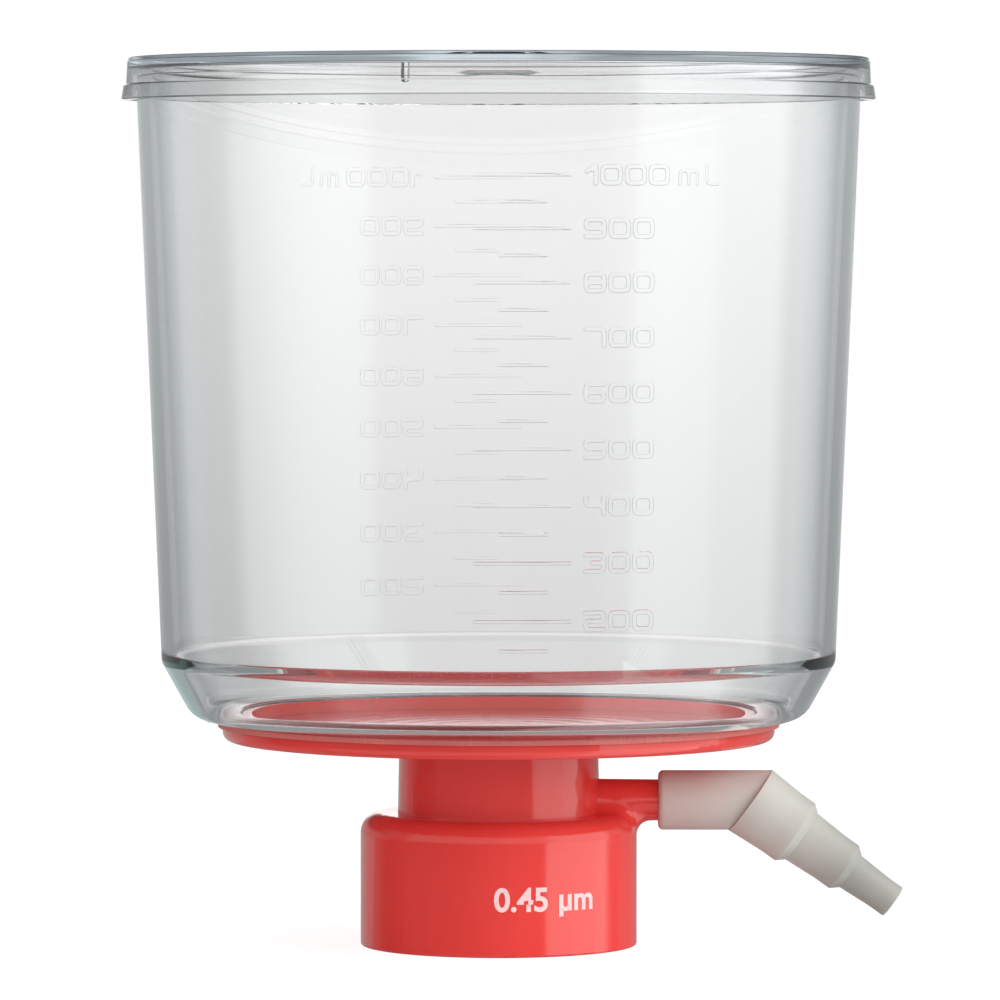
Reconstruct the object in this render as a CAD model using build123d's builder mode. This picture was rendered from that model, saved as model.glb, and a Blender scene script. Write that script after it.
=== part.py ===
"""Bottle-top vacuum filtration unit, 1000 mL: clear lidded funnel on a moulded red base.

Origin: centre of the collar's mouth, on the plane the unit stands on. +Z is up, the side arm
points along +X. All lengths are in millimetres and all angles in degrees.
"""
from build123d import *
from math import cos, radians, sin, tan
import os

# ---------------------------------------------------------------- bottle neck and collar
NECK_RADIUS = 22.75  # thread root of the 45 mm neck thread
COLLAR_WALL = 1.35
NECK_DEPTH = 19.4  # from the mouth to the gasket seat
NECK_LEAD_IN = 0.3
COLLAR_TOP_THICKNESS = 2.1
COLLAR_TOP_FILLET = 3.5
COLLAR_FOOT_FILLET = 0.4

# ---------------------------------------------------------------- neck gasket
GASKET_THICKNESS = 1.5
GASKET_RADIUS = 21.9
GASKET_BORE_RADIUS = 16.6
GASKET_CLEARANCE = 0.1

# ---------------------------------------------------------------- stem and drip tube
STEM_RADIUS = 17.35
STEM_DRAFT = 0.25  # growth of the radius down the stem's height
STEM_WALL = 2.0
STEM_HEIGHT = 12.7
DRIP_BORE_RADIUS = 3.2
DRIP_WALL = 1.5
DRIP_ROOT_FILLET = 1.0
DRIP_CLEARANCE = 0.6  # of the tube's mouth above the gasket seat

# ---------------------------------------------------------------- membrane support plate
FLANGE_SETBACK = 0.8  # of the flange's edge inside the weld ring's
FLANGE_THICKNESS = 2.5
FLANGE_EDGE_FILLET = 1.5
PLUG_HEIGHT = 2.6  # the raised support above the weld land
PLUG_RIM_WIDTH = 1.8
PLUG_EDGE_FILLET = 0.3
PLATE_WALL = 2.0
CORE_WIDTH_MARGIN = 2.6  # between the cored underside and the stem or the plug's edge
RIB_WIDTH = 1.0
RIB_PITCH = 5.0
RIB_HEIGHT = 1.2
RIB_INNER_RADIUS = 5.5
CHANNEL_COUNT = 8
CHANNEL_WIDTH = 2.0
FLOOR_FALL = 0.5  # from the support's rim down to the drain

# ---------------------------------------------------------------- membrane
MEMBRANE_THICKNESS = 0.15
MEMBRANE_MARGIN = 0.5  # bare rim outside the membrane

# ---------------------------------------------------------------- funnel
FUNNEL_WALL = 2.1
FUNNEL_FLOOR_THICKNESS = 1.8
UNDERSIDE_WIDTH = 4.2  # flat underside outside the weld ring
FUNNEL_FLARE = 4.35  # growth of the radius from the shoulder to the rim
FUNNEL_BARREL_HEIGHT = 103.1  # from the shoulder to the rim
SHOULDER_HEIGHT = 10.1
SHOULDER_ANGLE = 61.0
SHOULDER_FILLET = 5.0
BARREL_FILLET = 3.0
WELD_RING_RADIUS = 48.9
WELD_RING_WIDTH = 4.0
WELD_RING_HEIGHT = 1.2
WELD_BORE_CLEARANCE = 0.1
GATE_TAB_REACH = 1.8
GATE_TAB_WIDTH = 5.0
RIM_EDGE_FILLET = 0.4
VENT_NOTCH_WIDTH = 1.2
VENT_NOTCH_DEPTH = 3.5
VENT_NOTCH_ANGLE = 256.4

# ---------------------------------------------------------------- lid
LID_PLATE_THICKNESS = 1.7
LID_RIM_CLEARANCE = 0.45
LID_SKIRT_WALL = 1.15
LID_SKIRT_FLARE = 0.4
LID_SKIRT_DEPTH = 5.6  # below the plate
LID_BEAD_HEIGHT = 2.6
LID_BEAD_STEP = 0.45
LID_EDGE_FILLET = 0.3
LID_TOP_STEP = 0.5
LID_TOP_STEP_HEIGHT = 0.9
LID_DISH_RADIUS = 8.5
LID_DISH_DEPTH = 0.6

# ---------------------------------------------------------------- side arm
ARM_RISE = 2.1  # of the arm's axis above the collar's top
ARM_ROOT_RADIUS = 3.7
ARM_TIP_RADIUS = 3.45
ARM_REACH = 41.9  # of the arm's tip from the stem's axis
ARM_BORE_RADIUS = 2.2
ARM_EDGE_FILLET = 0.4
ARM_ROOT_FILLET = 2.4  # where the arm runs into the collar's top

# ---------------------------------------------------------------- hose adapter
SLEEVE_START = 27.8
SLEEVE_RADIUS = 5.2
SLEEVE_CLEARANCE = 0.05
SLEEVE_EDGE_FILLET = 0.9
ARM_TIP_GAP = 0.3
ELBOW_REACH = 43.9  # of the elbow from the stem's axis
ELBOW_ANGLE = 35.6  # below the arm
ELBOW_STEP = 0.12  # of the widest step outside the sleeve's corners
ELBOW_BORE_RADIUS = 2.9
ELBOW_POCKET = 0.15  # growth of the rounded pocket where the two bores meet
TIP_BORE_RADIUS = 1.9
STEP_LAND = 3.0  # straight end of each hose step
STEP_CHAMFER = 1.4
STEP_EDGE_FILLET = 0.3
STEP_LENGTHS = (9.6, 9.15, 9.1)
STEP_END_RADII = (6.1, 4.55, 3.0)
STEP_DRAFT = 0.35  # growth of a step's radius towards its root

# ---------------------------------------------------------------- heights and radii that follow
collar_radius = NECK_RADIUS + COLLAR_WALL
seat_height = NECK_DEPTH + GASKET_CLEARANCE + GASKET_THICKNESS
collar_top = seat_height + COLLAR_TOP_THICKNESS
stem_top = collar_top + STEM_HEIGHT
stem_bore_radius = STEM_RADIUS - STEM_WALL
drip_radius = DRIP_BORE_RADIUS + DRIP_WALL
drip_end_height = NECK_DEPTH + DRIP_CLEARANCE

weld_height = stem_top + FLANGE_THICKNESS
support_height = weld_height + PLUG_HEIGHT
flange_radius = WELD_RING_RADIUS - FLANGE_SETBACK
plug_radius = WELD_RING_RADIUS - WELD_RING_WIDTH
rim_inner_radius = plug_radius - PLUG_RIM_WIDTH
floor_edge_height = support_height - RIB_HEIGHT
drain_height = floor_edge_height - FLOOR_FALL
ceiling_height = drain_height - PLATE_WALL
core_inner_radius = STEM_RADIUS + CORE_WIDTH_MARGIN
core_outer_radius = plug_radius - CORE_WIDTH_MARGIN

underside_height = weld_height + WELD_RING_HEIGHT
floor_height = underside_height + FUNNEL_FLOOR_THICKNESS
barrel_height = underside_height + SHOULDER_HEIGHT
rim_height = barrel_height + FUNNEL_BARREL_HEIGHT

seat_radius = GASKET_RADIUS + GASKET_CLEARANCE
rib_root_height = ceiling_height + PLATE_WALL / 2
rib_count = int((rim_inner_radius - RIB_INNER_RADIUS - RIB_WIDTH) // RIB_PITCH) + 1
rib_radii = [RIB_INNER_RADIUS + index * RIB_PITCH for index in range(rib_count)]
weld_bore_radius = plug_radius + WELD_BORE_CLEARANCE

shoulder_slope = radians(SHOULDER_ANGLE)
underside_radius = WELD_RING_RADIUS + UNDERSIDE_WIDTH
bottom_radius = underside_radius + SHOULDER_HEIGHT / tan(shoulder_slope)
rim_radius = bottom_radius + FUNNEL_FLARE
shoulder_width = FUNNEL_WALL / sin(shoulder_slope)  # the wall measured along the radius
floor_radius = underside_radius + FUNNEL_FLOOR_THICKNESS / tan(shoulder_slope) - shoulder_width
inner_barrel_height = barrel_height + (shoulder_width - FUNNEL_WALL) * tan(shoulder_slope)
vent_plane = Plane(
    origin=(0, 0, rim_height),
    x_dir=(-sin(radians(VENT_NOTCH_ANGLE)), cos(radians(VENT_NOTCH_ANGLE)), 0),
    z_dir=(cos(radians(VENT_NOTCH_ANGLE)), sin(radians(VENT_NOTCH_ANGLE)), 0),
)

lid_top = rim_height + LID_PLATE_THICKNESS
skirt_foot_height = rim_height - LID_SKIRT_DEPTH
bead_top_height = skirt_foot_height + LID_BEAD_HEIGHT
skirt_inner_radius = rim_radius + LID_RIM_CLEARANCE
skirt_radius = skirt_inner_radius + LID_SKIRT_WALL

arm_height = collar_top + ARM_RISE
arm_axis = Axis((0, 0, arm_height), (1, 0, 0))
arm_root_reach = STEM_RADIUS - STEM_WALL / 2
socket_end = ARM_REACH + ARM_TIP_GAP


def arm_radius_at(reach):
    """The side arm's outer radius at a distance from the stem's axis."""
    taper = (ARM_ROOT_RADIUS - ARM_TIP_RADIUS) / (ARM_REACH - STEM_RADIUS)
    return ARM_TIP_RADIUS + taper * (ARM_REACH - reach)


elbow_drop = radians(ELBOW_ANGLE)
limb_axis = Axis((ELBOW_REACH, 0, arm_height), (cos(elbow_drop), 0, -sin(elbow_drop)))
limb_plane = Plane(
    origin=(ELBOW_REACH, 0, arm_height),
    x_dir=(cos(elbow_drop), 0, -sin(elbow_drop)),
    z_dir=(0, -1, 0),
)
limb_length = sum(STEP_LENGTHS) + STEP_CHAMFER * (len(STEP_LENGTHS) - 1)
sleeve_end = ELBOW_REACH + SLEEVE_RADIUS * tan(elbow_drop) + ELBOW_STEP / 2
elbow_radius = SLEEVE_RADIUS / cos(elbow_drop) + ELBOW_STEP

# outline of the hose steps in the limb's plane: reach along the limb, radius
step_corners = [(0, 0)]
step_edges = []
step_start = 0
for length, end_radius in zip(STEP_LENGTHS, STEP_END_RADII):
    root_radius = end_radius + STEP_DRAFT if step_start else elbow_radius
    step_end = step_start + length
    step_corners += [
        (step_start, root_radius),
        (step_end - STEP_LAND, end_radius),
        (step_end, end_radius),
    ]
    step_edges.append((step_end, end_radius))
    step_start = step_end + STEP_CHAMFER
step_corners.append((limb_length, 0))


def corner(section, x, y):
    """The section's corner nearest to a point of its own plane."""
    return section.vertices().sort_by_distance(Vector(x, y, 0))[0]


def export(piece, name):
    """Label one piece and write it as a STEP file of the same name."""
    piece.label = name
    export_step(piece, f"parts/{name}.step")


os.makedirs("parts", exist_ok=True)


# ---------------------------------------------------------------- red base, one moulding
with BuildPart() as filter_base:
    with BuildSketch(Plane.XZ) as base_section:
        with BuildLine():
            Polyline(
                (NECK_RADIUS + NECK_LEAD_IN, 0),
                (collar_radius, 0),
                (collar_radius, collar_top),
                (STEM_RADIUS + STEM_DRAFT, collar_top),
                (STEM_RADIUS, stem_top),
                (core_inner_radius, stem_top),
                (core_inner_radius, ceiling_height),
                (core_outer_radius, ceiling_height),
                (core_outer_radius, stem_top),
                (flange_radius, stem_top),
                (flange_radius, weld_height),
                (plug_radius, weld_height),
                (plug_radius, support_height),
                (rim_inner_radius, support_height),
                (rim_inner_radius, floor_edge_height),
                (DRIP_BORE_RADIUS, drain_height),
                (DRIP_BORE_RADIUS, drip_end_height),
                (drip_radius, drip_end_height),
                (drip_radius, ceiling_height),
                (stem_bore_radius, ceiling_height),
                (stem_bore_radius, seat_height),
                (seat_radius, seat_height),
                (seat_radius, NECK_DEPTH),
                (NECK_RADIUS, NECK_DEPTH),
                (NECK_RADIUS, NECK_LEAD_IN),
                close=True,
            )
        make_face()
        fillet(corner(base_section, collar_radius, 0), COLLAR_FOOT_FILLET)
        fillet(corner(base_section, collar_radius, collar_top), COLLAR_TOP_FILLET)
        fillet(corner(base_section, flange_radius, stem_top), FLANGE_EDGE_FILLET)
        fillet(corner(base_section, plug_radius, support_height), PLUG_EDGE_FILLET)
        fillet(corner(base_section, drip_radius, ceiling_height), DRIP_ROOT_FILLET)
    revolve(axis=Axis.Z)

    # concentric ribs under the membrane, cut by radial channels that lead to the drain
    with BuildSketch(Plane.XY.offset(rib_root_height)) as support_ribs:
        for rib_radius in rib_radii:
            Circle(rib_radius + RIB_WIDTH)
            Circle(rib_radius, mode=Mode.SUBTRACT)
        with PolarLocations(rim_inner_radius / 2, CHANNEL_COUNT):
            Rectangle(rim_inner_radius, CHANNEL_WIDTH, mode=Mode.SUBTRACT)
    extrude(amount=support_height - rib_root_height)

    # side arm, tapered towards its tip, and its bore into the stem
    with BuildSketch(Plane.XZ) as arm_section:
        with BuildLine():
            Polyline(
                (arm_root_reach, arm_height),
                (ARM_REACH, arm_height),
                (ARM_REACH, arm_height + ARM_TIP_RADIUS),
                (arm_root_reach, arm_height + arm_radius_at(arm_root_reach)),
                close=True,
            )
        make_face()
        fillet(corner(arm_section, ARM_REACH, arm_height + ARM_TIP_RADIUS), ARM_EDGE_FILLET)
    revolve(axis=arm_axis)
    root_edges = filter_base.edges().filter_by(GeomType.BSPLINE)
    fillet(root_edges.filter_by(lambda edge: edge.center().Z < arm_height), ARM_ROOT_FILLET)
    with BuildSketch(Plane.YZ.offset(stem_bore_radius - STEM_WALL)) as arm_bore:
        with Locations((0, arm_height)):
            Circle(ARM_BORE_RADIUS)
    extrude(amount=ARM_REACH, mode=Mode.SUBTRACT)
export(filter_base.part, "filter_base")


# ---------------------------------------------------------------- gasket against the bottle's mouth
with BuildPart() as neck_gasket:
    with BuildSketch(Plane.XY.offset(seat_height - GASKET_THICKNESS)) as gasket_ring:
        Circle(GASKET_RADIUS)
        Circle(GASKET_BORE_RADIUS, mode=Mode.SUBTRACT)
    extrude(amount=GASKET_THICKNESS)
export(neck_gasket.part, "neck_gasket")


# ---------------------------------------------------------------- membrane on the support ribs
with BuildPart() as membrane:
    with BuildSketch(Plane.XY.offset(support_height)) as membrane_disc:
        Circle(plug_radius - PLUG_EDGE_FILLET - MEMBRANE_MARGIN)
    extrude(amount=MEMBRANE_THICKNESS)
export(membrane.part, "membrane")


# ---------------------------------------------------------------- clear funnel, one moulding
with BuildPart() as funnel:
    with BuildSketch(Plane.XZ) as funnel_section:
        with BuildLine():
            Polyline(
                (weld_bore_radius, weld_height),
                (WELD_RING_RADIUS, weld_height),
                (WELD_RING_RADIUS, underside_height),
                (underside_radius, underside_height),
                (bottom_radius, barrel_height),
                (rim_radius, rim_height),
                (rim_radius - FUNNEL_WALL, rim_height),
                (bottom_radius - FUNNEL_WALL, inner_barrel_height),
                (floor_radius, floor_height),
                (weld_bore_radius, floor_height),
                close=True,
            )
        make_face()
        fillet(corner(funnel_section, underside_radius, underside_height), SHOULDER_FILLET)
        fillet(corner(funnel_section, floor_radius, floor_height), SHOULDER_FILLET - FUNNEL_WALL)
        fillet(corner(funnel_section, bottom_radius, barrel_height), BARREL_FILLET)
        fillet(corner(funnel_section, rim_radius, rim_height), RIM_EDGE_FILLET)
        fillet(corner(funnel_section, rim_radius - FUNNEL_WALL, rim_height), RIM_EDGE_FILLET)
    revolve(axis=Axis.Z)

    # gate tab on the weld ring, opposite the side arm
    with BuildSketch(Plane.XY.offset(weld_height)) as gate_tab:
        with Locations((-WELD_RING_RADIUS, 0)):
            Rectangle(2 * GATE_TAB_REACH, GATE_TAB_WIDTH)
    extrude(amount=WELD_RING_HEIGHT)

    # vent notch in the rim, which lets air in under the lid
    with BuildSketch(vent_plane) as vent_notch:
        with Locations((0, -VENT_NOTCH_DEPTH / 2)):
            SlotOverall(VENT_NOTCH_DEPTH + VENT_NOTCH_WIDTH, VENT_NOTCH_WIDTH, rotation=90)
    extrude(amount=rim_radius, mode=Mode.SUBTRACT)
export(funnel.part, "funnel")


# ---------------------------------------------------------------- lid
with BuildPart() as lid:
    with BuildSketch(Plane.XZ) as lid_section:
        with BuildLine():
            Polyline(
                (0, rim_height - LID_DISH_DEPTH),
                (LID_DISH_RADIUS, rim_height - LID_DISH_DEPTH),
                (LID_DISH_RADIUS + LID_DISH_DEPTH, rim_height),
                (skirt_inner_radius, rim_height),
                (skirt_inner_radius + LID_SKIRT_FLARE, skirt_foot_height),
                (skirt_radius + LID_SKIRT_FLARE + LID_BEAD_STEP, skirt_foot_height),
                (skirt_radius + LID_BEAD_STEP, bead_top_height),
                (skirt_radius, bead_top_height),
                (skirt_radius - LID_TOP_STEP / 2, lid_top - LID_TOP_STEP_HEIGHT),
                (skirt_radius - LID_TOP_STEP, lid_top - LID_TOP_STEP_HEIGHT),
                (skirt_radius - LID_TOP_STEP, lid_top),
                (LID_DISH_RADIUS + LID_DISH_DEPTH, lid_top),
                (LID_DISH_RADIUS, lid_top - LID_DISH_DEPTH),
                (0, lid_top - LID_DISH_DEPTH),
                close=True,
            )
        make_face()
        fillet(corner(lid_section, skirt_radius - LID_TOP_STEP, lid_top), LID_EDGE_FILLET)
        fillet(corner(lid_section, skirt_inner_radius, rim_height), LID_EDGE_FILLET)
    revolve(axis=Axis.Z)
export(lid.part, "lid")


# ---------------------------------------------------------------- stepped elbow hose adapter
with BuildPart() as hose_adapter:
    # sleeve over the side arm
    with BuildSketch(Plane.XZ) as sleeve_section:
        with BuildLine():
            Polyline(
                (SLEEVE_START, arm_height),
                (SLEEVE_START, arm_height + SLEEVE_RADIUS),
                (sleeve_end, arm_height + SLEEVE_RADIUS),
                (sleeve_end, arm_height),
                close=True,
            )
        make_face()
        fillet(corner(sleeve_section, SLEEVE_START, arm_height + SLEEVE_RADIUS), SLEEVE_EDGE_FILLET)
    revolve(axis=arm_axis)

    # hose steps along the slanted limb, widest at the elbow
    with BuildSketch(limb_plane) as steps_section:
        with BuildLine():
            Polyline(*step_corners, close=True)
        make_face()
        for reach, radius in step_edges:
            fillet(corner(steps_section, reach, radius), STEP_EDGE_FILLET)
    revolve(axis=limb_axis)

    # socket for the arm, then the passage round the elbow and out of the tip
    with BuildSketch(Plane.XZ) as socket_section:
        with BuildLine():
            Polyline(
                (SLEEVE_START, arm_height),
                (SLEEVE_START, arm_height + arm_radius_at(SLEEVE_START) + SLEEVE_CLEARANCE),
                (socket_end, arm_height + arm_radius_at(socket_end) + SLEEVE_CLEARANCE),
                (socket_end, arm_height + ELBOW_BORE_RADIUS),
                (ELBOW_REACH, arm_height + ELBOW_BORE_RADIUS),
                (ELBOW_REACH, arm_height),
                close=True,
            )
        make_face()
    revolve(axis=arm_axis, mode=Mode.SUBTRACT)
    with Locations(limb_plane.origin):
        Sphere(ELBOW_BORE_RADIUS + ELBOW_POCKET, mode=Mode.SUBTRACT)
    with BuildSketch(limb_plane) as bore_section:
        with BuildLine():
            Polyline(
                (0, 0),
                (0, ELBOW_BORE_RADIUS),
                (limb_length, TIP_BORE_RADIUS),
                (limb_length, 0),
                close=True,
            )
        make_face()
    revolve(axis=limb_axis, mode=Mode.SUBTRACT)
export(hose_adapter.part, "hose_adapter")
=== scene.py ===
"""Looks of the bottle-top vacuum filtration unit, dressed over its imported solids.

Objects are in metres, in the frame of the solids: the origin is the centre of the collar's
mouth, +Z is up and the side arm points along +X. Sizes in the classes are in millimetres.
"""
import logging
import math
from dataclasses import dataclass, field
from enum import Enum
from typing import Callable, Iterable, Mapping, Sequence, Union

import bpy
import numpy as np
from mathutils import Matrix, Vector
from mathutils.geometry import tessellate_polygon


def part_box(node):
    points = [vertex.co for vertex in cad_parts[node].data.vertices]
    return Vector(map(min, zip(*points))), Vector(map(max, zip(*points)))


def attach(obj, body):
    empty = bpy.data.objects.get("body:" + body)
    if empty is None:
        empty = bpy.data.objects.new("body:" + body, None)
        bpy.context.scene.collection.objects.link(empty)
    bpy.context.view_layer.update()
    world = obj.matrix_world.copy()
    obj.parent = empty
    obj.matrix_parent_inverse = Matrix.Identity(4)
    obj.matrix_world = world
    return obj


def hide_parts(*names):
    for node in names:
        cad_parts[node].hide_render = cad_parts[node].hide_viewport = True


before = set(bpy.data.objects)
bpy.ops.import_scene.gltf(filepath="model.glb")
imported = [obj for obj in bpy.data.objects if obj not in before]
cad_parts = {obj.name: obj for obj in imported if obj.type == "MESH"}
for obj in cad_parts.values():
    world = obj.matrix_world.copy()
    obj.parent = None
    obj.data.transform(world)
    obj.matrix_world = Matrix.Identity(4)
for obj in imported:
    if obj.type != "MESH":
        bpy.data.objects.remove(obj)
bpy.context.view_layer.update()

MM = 0.001
FULL_TURN = 2 * math.pi
LOG = logging.getLogger("filtration_unit")

Number = Union[int, float]
Colour = tuple[float, float, float]
Point2 = tuple[float, float]
Wrap = Callable[[float, float, float], tuple[float, float, float]]  # across, height and rise to metres
ON_SECTION = 0.008  # mm within which a face's centre counts as lying on a section's edge
SAME_FACING = 0.985  # cosine within which it faces as the edge does


# ------------------------------------------------------------------------ shader expressions
class Signal:
    """A value or a vector in a shader, joined to others by Python's own operators."""

    def __init__(self, graph: "Graph", socket: bpy.types.NodeSocket) -> None:
        """Wrap one output socket of a node.

        Args:
            graph: The node tree that the socket belongs to.
            socket: The output socket.
        """
        self.graph = graph
        self.socket = socket

    def _join(self, operation: str, other: "Feed", swapped: bool = False) -> "Signal":
        """Add the node of one operator: Vector Math where a vector takes part, or else Math.

        Args:
            operation: The name that both nodes have for it.
            other: The other operand.
            swapped: Whether the other operand comes first.

        Returns:
            The result.
        """
        pair = (other, self) if swapped else (self, other)
        vectors = any(isinstance(item, Signal) and item.socket.type == "VECTOR" for item in pair)
        kind = "ShaderNodeVectorMath" if vectors else "ShaderNodeMath"
        return self.graph.node(kind, {"operation": operation}, dict(enumerate(pair)))

    def __add__(self, other: "Feed") -> "Signal":
        """Sum."""
        return self._join("ADD", other)

    def __radd__(self, other: "Feed") -> "Signal":
        """Reflected sum."""
        return self._join("ADD", other, swapped=True)

    def __sub__(self, other: "Feed") -> "Signal":
        """Difference."""
        return self._join("SUBTRACT", other)

    def __rsub__(self, other: "Feed") -> "Signal":
        """Reflected difference."""
        return self._join("SUBTRACT", other, swapped=True)

    def __mul__(self, other: "Feed") -> "Signal":
        """Product."""
        return self._join("MULTIPLY", other)

    def __rmul__(self, other: "Feed") -> "Signal":
        """Reflected product."""
        return self._join("MULTIPLY", other, swapped=True)

    def _math(self, operation: str, *others: "Feed") -> "Signal":
        """A Math node whose first value is this signal.

        Args:
            operation: The node's operation.
            others: Its other values, in order.

        Returns:
            The result.
        """
        return self.graph.node("ShaderNodeMath", {"operation": operation}, dict(enumerate((self, *others))))

    def absolute(self) -> "Signal":
        """The value without its sign."""
        return self._math("ABSOLUTE")

    def arcsine(self) -> "Signal":
        """The angle whose sine this is, in degrees."""
        return self._math("ARCSINE") * math.degrees(1)

    def bearing(self, along: "Feed") -> "Signal":
        """The angle of the point that lies this far across and so far along, in degrees."""
        return self._math("ARCTAN2", along) * math.degrees(1)

    def clamped(self) -> "Signal":
        """The value held between 0 and 1."""
        return self.graph.node("ShaderNodeClamp", {}, {"Value": self})

    def rise(self, start: float, end: float) -> "Signal":
        """A smooth step from 0 at start to 1 at end.

        Args:
            start: Where it starts.
            end: Where it ends.

        Returns:
            The step.
        """
        return self.graph.node(
            "ShaderNodeMapRange",
            {"interpolation_type": "SMOOTHSTEP"},
            {"Value": self, "From Min": start, "From Max": end},
        )

    def fall(self, start: float, end: float) -> "Signal":
        """A smooth step from 1 at start to 0 at end."""
        return 1 - self.rise(start, end)

    def part(self, name: str) -> "Signal":
        """One part of a vector, X, Y or Z."""
        return self.graph.node("ShaderNodeSeparateXYZ", {}, {0: self}, output=name)

    def length(self) -> "Signal":
        """The length of a vector."""
        return self.graph.node("ShaderNodeVectorMath", {"operation": "LENGTH"}, {0: self}, output="Value")

    def unit(self) -> "Signal":
        """A vector at length 1."""
        return self.graph.node("ShaderNodeVectorMath", {"operation": "NORMALIZE"}, {0: self})


Feed = Union[Signal, Number, Sequence[float]]


class Graph:
    """The node tree of one material or world."""

    FLAT = (1.0, 1.0, 0.0)  # keeps a place's distance from the axis and drops its height
    MIX_FACTOR, MIX_LOW, MIX_HIGH, MIX_RESULT = 0, 6, 7, 2  # the Mix node's sockets for colours

    def __init__(self, owner: Union[bpy.types.Material, bpy.types.World]) -> None:
        """Empty the owner's tree and take it over.

        Args:
            owner: The material or world.
        """
        owner.use_nodes = True
        self.owner = owner
        self.tree = owner.node_tree
        self.tree.nodes.clear()

    def node(
        self,
        kind: str,
        settings: Mapping[str, object],
        inputs: Mapping[Union[str, int], object],
        output: Union[str, int] = 0,
    ) -> Signal:
        """Add one node.

        Args:
            kind: The node's type.
            settings: Its settings, set first.
            inputs: The values or signals of its sockets, by name or number.
            output: Which output to return.

        Returns:
            The output as a signal, or None from a node that has no outputs.
        """
        made = self.tree.nodes.new(kind)
        for name, value in settings.items():
            setattr(made, name, value)
        for key, value in inputs.items():
            self._feed(made.inputs[key], value)
        return Signal(self, made.outputs[output]) if made.outputs else None

    def _feed(self, socket: bpy.types.NodeSocket, value: object) -> None:
        """Link a signal to a socket, or set a plain value on it.

        Args:
            socket: The input socket.
            value: The signal or the value.
        """
        if isinstance(value, Signal):
            self.tree.links.new(value.socket, socket)
        elif socket.type == "RGBA":
            socket.default_value = (*value, 1.0)
        else:
            socket.default_value = value

    def blend(self, low: Feed, high: Feed, factor: Feed) -> Signal:
        """A mix of two colours.

        Args:
            low: The colour at factor 0.
            high: The colour at factor 1.
            factor: The share of the second.

        Returns:
            The mixed colour.
        """
        settings = {"data_type": "RGBA", "blend_type": "MIX", "clamp_factor": True}
        inputs = {self.MIX_FACTOR: factor, self.MIX_LOW: low, self.MIX_HIGH: high}
        return self.node("ShaderNodeMix", settings, inputs, self.MIX_RESULT)

    def coordinates(self, name: str) -> Signal:
        """One output of the Texture Coordinate node."""
        return self.node("ShaderNodeTexCoord", {}, {}, output=name)

    def ray(self, name: str) -> Signal:
        """One output of the Light Path node."""
        return self.node("ShaderNodeLightPath", {}, {}, output=name)

    def noise(self, vector: Signal, scale: float, detail: float = 2.0, roughness: float = 0.5) -> Signal:
        """Fractal noise.

        Args:
            vector: Where to read it.
            scale: Waves per unit of the vector.
            detail: Octaves.
            roughness: Weight of the finer octaves.

        Returns:
            A value near 0.5.
        """
        values = {"Vector": vector, "Scale": scale, "Detail": detail, "Roughness": roughness}
        return self.node("ShaderNodeTexNoise", {}, values)

    def bump(self, height: Signal, distance: float) -> Signal:
        """A normal tilted by a height in units of the distance, in metres."""
        values = {"Height": height, "Distance": distance, "Strength": 1.0}
        return self.node("ShaderNodeBump", {}, values)

    def principled(self, values: Mapping[str, object]) -> Signal:
        """A Principled BSDF with the sockets given."""
        return self.node("ShaderNodeBsdfPrincipled", {}, values)

    def finish(
        self, surface: Signal, volume: Union[Signal, None] = None
    ) -> Union[bpy.types.Material, bpy.types.World]:
        """Join the shaders to the output.

        Args:
            surface: The surface shader.
            volume: The volume shader, if there is one.

        Returns:
            The material or world that the tree belongs to.
        """
        kind = "World" if isinstance(self.owner, bpy.types.World) else "Material"
        shaders = {"Surface": surface} if volume is None else {"Surface": surface, "Volume": volume}
        self.node(f"ShaderNodeOutput{kind}", {}, shaders)
        return self.owner


# ------------------------------------------------------------------------ finishes
@dataclass(frozen=True)
class ClearStyrene:
    """Water-clear moulded polystyrene: sharp, a little wavy, grey-blue only where it is deep."""

    name: str = "clear_styrene"
    refraction: float = 1.59
    depth_tint: Colour = (0.80, 0.87, 0.92)
    tint_density: float = 12.0  # per metre
    wave_scale: float = 38.0  # per metre
    wave_stretch: float = 0.35  # of the waves' number along the axis, as the melt flowed
    wave_height: float = 0.012  # mm

    def build(self) -> bpy.types.Material:
        """Make the material.

        Returns:
            The material.
        """
        graph = Graph(bpy.data.materials.new(self.name))
        place = graph.coordinates("Object")
        flow = graph.noise(place * (1.0, 1.0, self.wave_stretch), self.wave_scale, 1.0, 0.4)
        surface = graph.principled(
            {
                "Base Color": (1.0, 1.0, 1.0),
                "Roughness": 0.0,
                "IOR": self.refraction,
                "Transmission Weight": 1.0,
                "Normal": graph.bump(flow, self.wave_height * MM),
            }
        )
        volume = graph.node(
            "ShaderNodeVolumeAbsorption", {}, {"Color": self.depth_tint, "Density": self.tint_density}
        )
        return graph.finish(surface, volume)


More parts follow.
